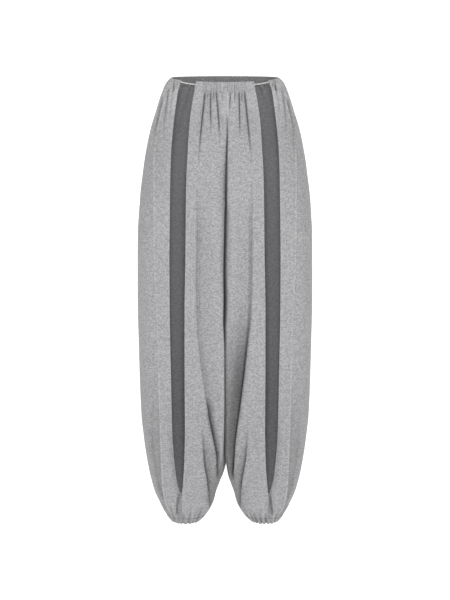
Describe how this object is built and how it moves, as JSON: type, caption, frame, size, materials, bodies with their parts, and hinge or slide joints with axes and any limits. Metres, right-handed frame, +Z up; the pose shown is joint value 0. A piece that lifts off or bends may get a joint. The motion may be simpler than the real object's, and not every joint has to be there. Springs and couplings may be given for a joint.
{
  "type": "running pants",
  "caption": "Loose balloon-leg sweatpants in grey marl jersey, with gathered elastic waist and ankles and a long open slit down the front of each leg.",
  "frame": {"origin": "centre of the waist opening, level with its top edge at the sides", "axes": "+Z up out of the waist, -Y towards the front, +X towards the wearer's left"},
  "size_m": [0.3907, 0.242, 1.004],
  "materials": {
    "marl_jersey": "matte heathered knit",
    "casing_jersey": "matte heathered knit, gathered",
    "bare_elastic": "matte braided elastic"
  },
  "bodies": {
    "root": {"waistband_front": "casing_jersey", "waistband_back": "casing_jersey", "front_panel_right": "marl_jersey", "front_panel_left": "marl_jersey", "side_panel_right": "marl_jersey", "side_panel_left": "marl_jersey", "back_panel_right": "marl_jersey", "back_panel_left": "marl_jersey", "ankle_band_right": "casing_jersey", "ankle_band_left": "casing_jersey", "elastic_right": "bare_elastic", "elastic_left": "bare_elastic"}
  },
  "joints": []
}
